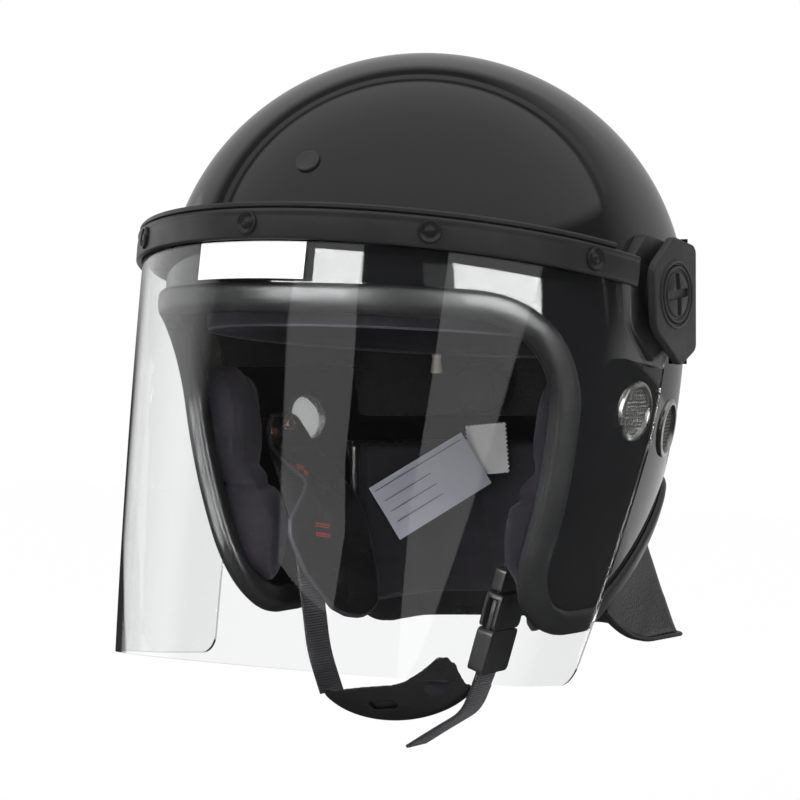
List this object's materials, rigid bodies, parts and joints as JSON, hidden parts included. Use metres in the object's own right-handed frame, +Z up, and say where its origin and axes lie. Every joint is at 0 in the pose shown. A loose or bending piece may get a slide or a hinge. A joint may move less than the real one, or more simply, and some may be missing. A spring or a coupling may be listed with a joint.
{
  "type": "riot helmet",
  "caption": "Open-face riot helmet with a swing-up clear face shield, padded lining, neck guard and buckled chin strap.",
  "frame": {"origin": "midpoint between the two face-shield pivots, inside the head space", "axes": "+Z up, -Y the way the face looks, +X the wearer's left"},
  "size_m": [0.2858, 0.3415, 0.3544],
  "materials": {
    "shell_gloss": "high-gloss black moulded shell",
    "trim_rubber": "satin black rubber edge moulding",
    "liner_foam": "black moulded impact foam",
    "brushed_fabric": "brushed dark purple-grey fabric",
    "speckled_foam": "black open-cell foam",
    "grille_metal": "satin silver grille rim",
    "mesh_metal": "woven silver wire mesh",
    "black_metal": "black coated metal",
    "brass": "bare brass nut",
    "black_plastic": "black moulded plastic",
    "guard_leather": "black grained leather-look cover",
    "clear_polycarbonate": "clear glossy polycarbonate",
    "white_vinyl": "plain white vinyl label",
    "smooth_vinyl": "smooth black vinyl panel",
    "webbing": "ribbed black nylon webbing",
    "pale_label": "pale printed-cloth label, left plain",
    "white_felt": "white cloth tag with black overlocked edge",
    "cream_plastic": "cream moulded cord lock",
    "cup_leather": "black leather-look chin cup"
  },
  "bodies": {
    "helmet": {"shell": "shell_gloss", "edge_trim": "trim_rubber", "impact_liner": "liner_foam", "headband": "brushed_fabric", "crown_pad": "brushed_fabric", "cheek_pad_left": "brushed_fabric", "cheek_pad_right": "brushed_fabric", "rear_foam_pads": "speckled_foam", "grille_rims_left": "grille_metal", "grille_rims_right": "grille_metal", "grille_meshes_left": "mesh_metal", "grille_meshes_right": "mesh_metal", "strap_stud_left": "black_metal", "strap_stud_right": "black_metal", "strap_nut_left": "brass", "strap_nut_right": "brass", "forehead_plug": "black_plastic", "neck_guard": "guard_leather", "neck_guard_rail": "black_plastic", "nape_pad": "brushed_fabric", "ear_flap_left": "smooth_vinyl", "ear_flap_right": "smooth_vinyl", "anchor_strap_left": "webbing", "anchor_strap_right": "webbing", "label_card": "pale_label", "size_tag": "white_felt", "cord_lock": "cream_plastic", "pivot_base_left": "black_plastic", "pivot_cover_left": "black_plastic", "pivot_bush_left": "black_metal", "pivot_stud_left": "black_metal", "pivot_inner_plate_left": "black_metal", "pivot_washer_left": "black_plastic", "pivot_base_right": "black_plastic", "pivot_cover_right": "black_plastic", "pivot_bush_right": "black_metal", "pivot_stud_right": "black_metal", "pivot_inner_plate_right": "black_metal", "pivot_washer_right": "black_plastic"},
    "shield": {"shield_sheet": "clear_polycarbonate", "shield_strip": "trim_rubber", "shield_seal": "trim_rubber", "shield_screws": "black_metal", "shield_nuts": "black_metal", "front_badge": "white_vinyl"},
    "knob_left": {"pivot_knob_left": "black_plastic"},
    "knob_right": {"pivot_knob_right": "black_plastic"},
    "strap_near": {"strap_left": "webbing", "buckle_upper": "black_plastic", "strap_slider": "black_plastic"},
    "chin_strap": {"strap_right": "webbing", "chin_cup": "cup_leather", "chin_cup_pad": "brushed_fabric", "buckle_lower": "black_plastic", "strap_tail": "webbing"},
    "prong_front": {"buckle_prong_front": "black_plastic"},
    "prong_rear": {"buckle_prong_rear": "black_plastic"}
  },
  "joints": [
    {"name": "shield_swing", "type": "hinge", "parent": "helmet", "child": "shield", "pos_m": [0, 0, 0], "axis": [-1, 0, 0], "range_deg": [0, 92]},
    {"name": "knob_left_turn", "type": "hinge", "parent": "helmet", "child": "knob_left", "pos_m": [0.14, 0, 0], "axis": [1, 0, 0], "range_deg": [-90, 90]},
    {"name": "knob_right_turn", "type": "hinge", "parent": "helmet", "child": "knob_right", "pos_m": [-0.14, 0, 0], "axis": [-1, 0, 0], "range_deg": [-90, 90]},
    {"name": "chinstrap_swing", "type": "hinge", "parent": "helmet", "child": "strap_near", "pos_m": [0, -0.02, -0.124], "axis": [1, 0, 0], "range_deg": [-35, 15]},
    {"name": "buckle_open", "type": "hinge", "parent": "strap_near", "child": "chin_strap", "pos_m": [-0.064, -0.02, -0.13], "axis": [0, 1, 0], "range_deg": [0, 12]},
    {"name": "prong_front_squeeze", "type": "slide", "parent": "chin_strap", "child": "prong_front", "axis": [0, 1, 0], "range_m": [0, 0.002], "stiffness_N_per_m": 400},
    {"name": "prong_rear_squeeze", "type": "slide", "parent": "chin_strap", "child": "prong_rear", "axis": [0, -1, 0], "range_m": [0, 0.002], "stiffness_N_per_m": 400}
  ]
}
